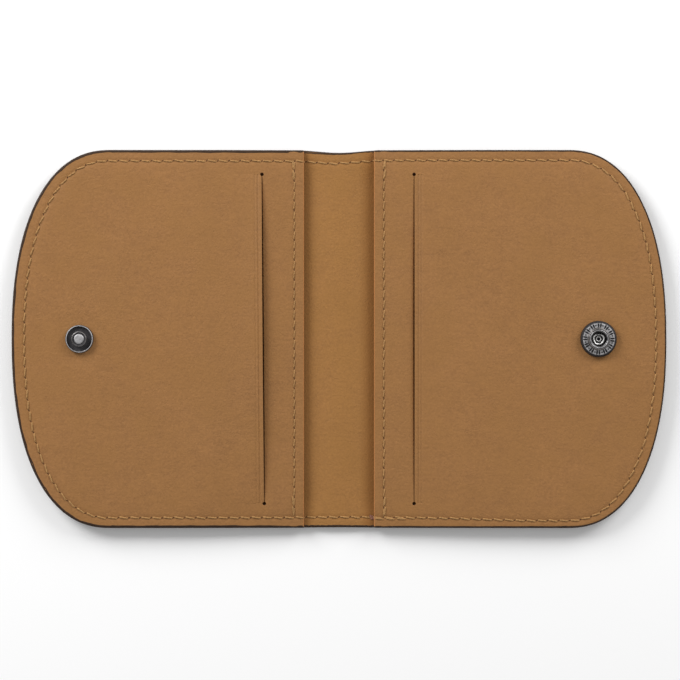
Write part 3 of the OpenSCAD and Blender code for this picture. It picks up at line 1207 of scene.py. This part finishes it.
def flange_marks():
    """A plain ring of pressed dashes, in pairs, with a dot after each pair."""
    tubes = Tubes()
    for k in range(MARK_GROUPS):
        for turn, length, width in MARKS:
            a = math.tau * k / MARK_GROUPS + math.radians(turn)
            way = np.array([math.cos(a), math.sin(a)])
            spot = np.array([SNAP_X + MARK_R * way[0], MARK_R * way[1], PANEL_TOP + 1.35])
            tubes.mark(spot, way, length, width, 0.03)
    obj = add_mesh("socket_flange_marks", tubes.marks, tubes.mark_faces, [marks_and_bore_shade_metal])
    on_half(obj, "right", "socket_metal")


def rivet():
    """The tubular rivet's rolled end: a bright uneven curl, split at one side, round a dark bore whose
    near-black colour is painted shade.
    """
    centre = (SNAP_X, 0, PANEL_TOP)
    profile, spans = spans_of([
        ([(0, -0.3), (1.0, -0.3), (1.55, 0.05)], BLACK),
        (arc(1.50, 0.48, 0.34, -60, 235, 15), BRIGHT),
        ([(0.92, 0.10), (0.84, 0.12)], BLACK),
        ([(0.76, 0.26), (0.66, 0.32), (0.54, 0.31), (0.47, 0.24)], BRIGHT),
        ([(0.42, 0.08), (0.38, 0.03), (0, 0.03)], BLACK),
    ])

    def split(a, r, z):
        if r < 1.0 or z < 0.06:
            return r, z
        off = (a - math.pi / 2 + math.pi) % math.tau - math.pi
        gap = math.exp(-((off / 0.42) ** 2))
        kinks = 0.045 * math.sin(3 * a + 0.9) + 0.03 * math.sin(5 * a)
        return r * (1 - 0.10 * gap) + kinks * (1 - gap), z * (1 - 0.62 * gap) + 0.05 * math.sin(2 * a)

    metals = [mid_metal, rivet_metal, marks_and_bore_shade_metal]
    obj = lathe("socket_rivet", profile, spans, 120, centre, metals, split)
    on_half(obj, "right", "socket_metal", "socket_post")


RING_Z = 2.1
RING_R = 2.31
RING_WIRE_R = 0.19
RING_GAP = math.radians(24)


def ring_spring():
    """Sprung wire ring in the groove of the mouth, with a gap in it."""
    centre = np.array([SNAP_X, 0, PANEL_TOP + RING_Z])
    steps, sides = 96, 12
    points = []
    for k in range(steps + 1):
        a = RING_GAP / 2 + (math.tau - RING_GAP) * k / steps
        for i in range(sides):
            b = math.tau * i / sides
            r = RING_R + RING_WIRE_R * math.cos(b)
            points.append(centre + np.array([r * math.cos(a), r * math.sin(a), RING_WIRE_R * math.sin(b)]))
    obj = add_mesh("ring_spring_visual", points, tube_faces(0, steps + 1, sides), [spring_metal])
    on_half(obj, "right", "spring_steel", "ring_spring")


# ---------------- assembly

for name in SIDES:
    outer_leather(name)
    lining(name)
    board(name)
    welt(name)
    panel(name)
    edge_paint(name)
    edge_stitching(name)
    panel_stitching(name)
    outer_stitching(name)
stud()
socket()

# The stud's rivet stays as the CAD node, with a finish of its own
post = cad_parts["stud_post"].data
post.materials.clear()
post.materials.append(mid_metal)

# ---------------- stage, light and camera


def area_light(name, place, size, power):
    """A round soft light at place, in metres, that shines on the middle of the wallet."""
    light = bpy.data.lights.new(name, "AREA")
    light.shape = "DISK"
    light.size = size
    light.energy = power
    obj = bpy.data.objects.new(name, light)
    obj.location = place
    obj.rotation_mode = "QUATERNION"
    obj.rotation_quaternion = (-obj.location).to_track_quat("-Z", "Y")
    scene.collection.objects.link(obj)


FLOOR_HALF = 1500
FLOOR_LEVELS = (-10.02, -0.02)


def floor():
    corners = [(x * FLOOR_HALF, y * FLOOR_HALF) for x, y in ((-1, -1), (1, -1), (1, 1), (-1, 1))]
    points = [(x, y, z) for z in FLOOR_LEVELS for x, y in corners]
    faces = [[3, 2, 1, 0], [4, 5, 6, 7]] + [[i, (i + 1) % 4, (i + 1) % 4 + 4, i + 4] for i in range(4)]
    mat, tree, shader = node_material("floor_white")
    feed(tree, shader, {"Base Color": (0.97, 0.97, 0.97, 1), "Roughness": 0.9, "Specular IOR Level": 0.1})
    obj = add_mesh("floor", points, faces, [mat])


floor()
world = bpy.data.worlds.new("studio")
scene.world = world
world.use_nodes = True
background = world.node_tree.nodes["Background"].inputs
background["Color"].default_value = (1, 1, 1, 1)
background["Strength"].default_value = 0.42
area_light("key_left", (-0.52, 0.46, 0.35), 0.45, 5.6)
area_light("key_right", (0.43, 0.41, 0.28), 0.38, 2.8)
area_light("fill_front", (0.0, -0.7, 0.3), 0.5, 0.4)

# A long lens straight above. The wallet takes WALLET of the picture's PICTURE pixels across, and
# stands a pixel left of its middle and above it
SENSOR = 36.0
LENS = 135.0
PICTURE = 680
WALLET = 654
SHOWN_W = 2 * HALF_W * MM * PICTURE / WALLET
DISTANCE = SHOWN_W / 2 / (SENSOR / 2 / LENS) + PANEL_TOP * MM / 2
PIXEL = SHOWN_W / PICTURE

camera_data = bpy.data.cameras.new("camera")
camera_data.sensor_width = SENSOR
camera_data.lens = LENS
camera_data.clip_start = 0.05
camera_data.clip_end = 10
camera = bpy.data.objects.new("camera", camera_data)
camera.location = (PIXEL, -PIXEL, DISTANCE)
scene.collection.objects.link(camera)
scene.camera = camera
scene.view_settings.view_transform = "Standard"
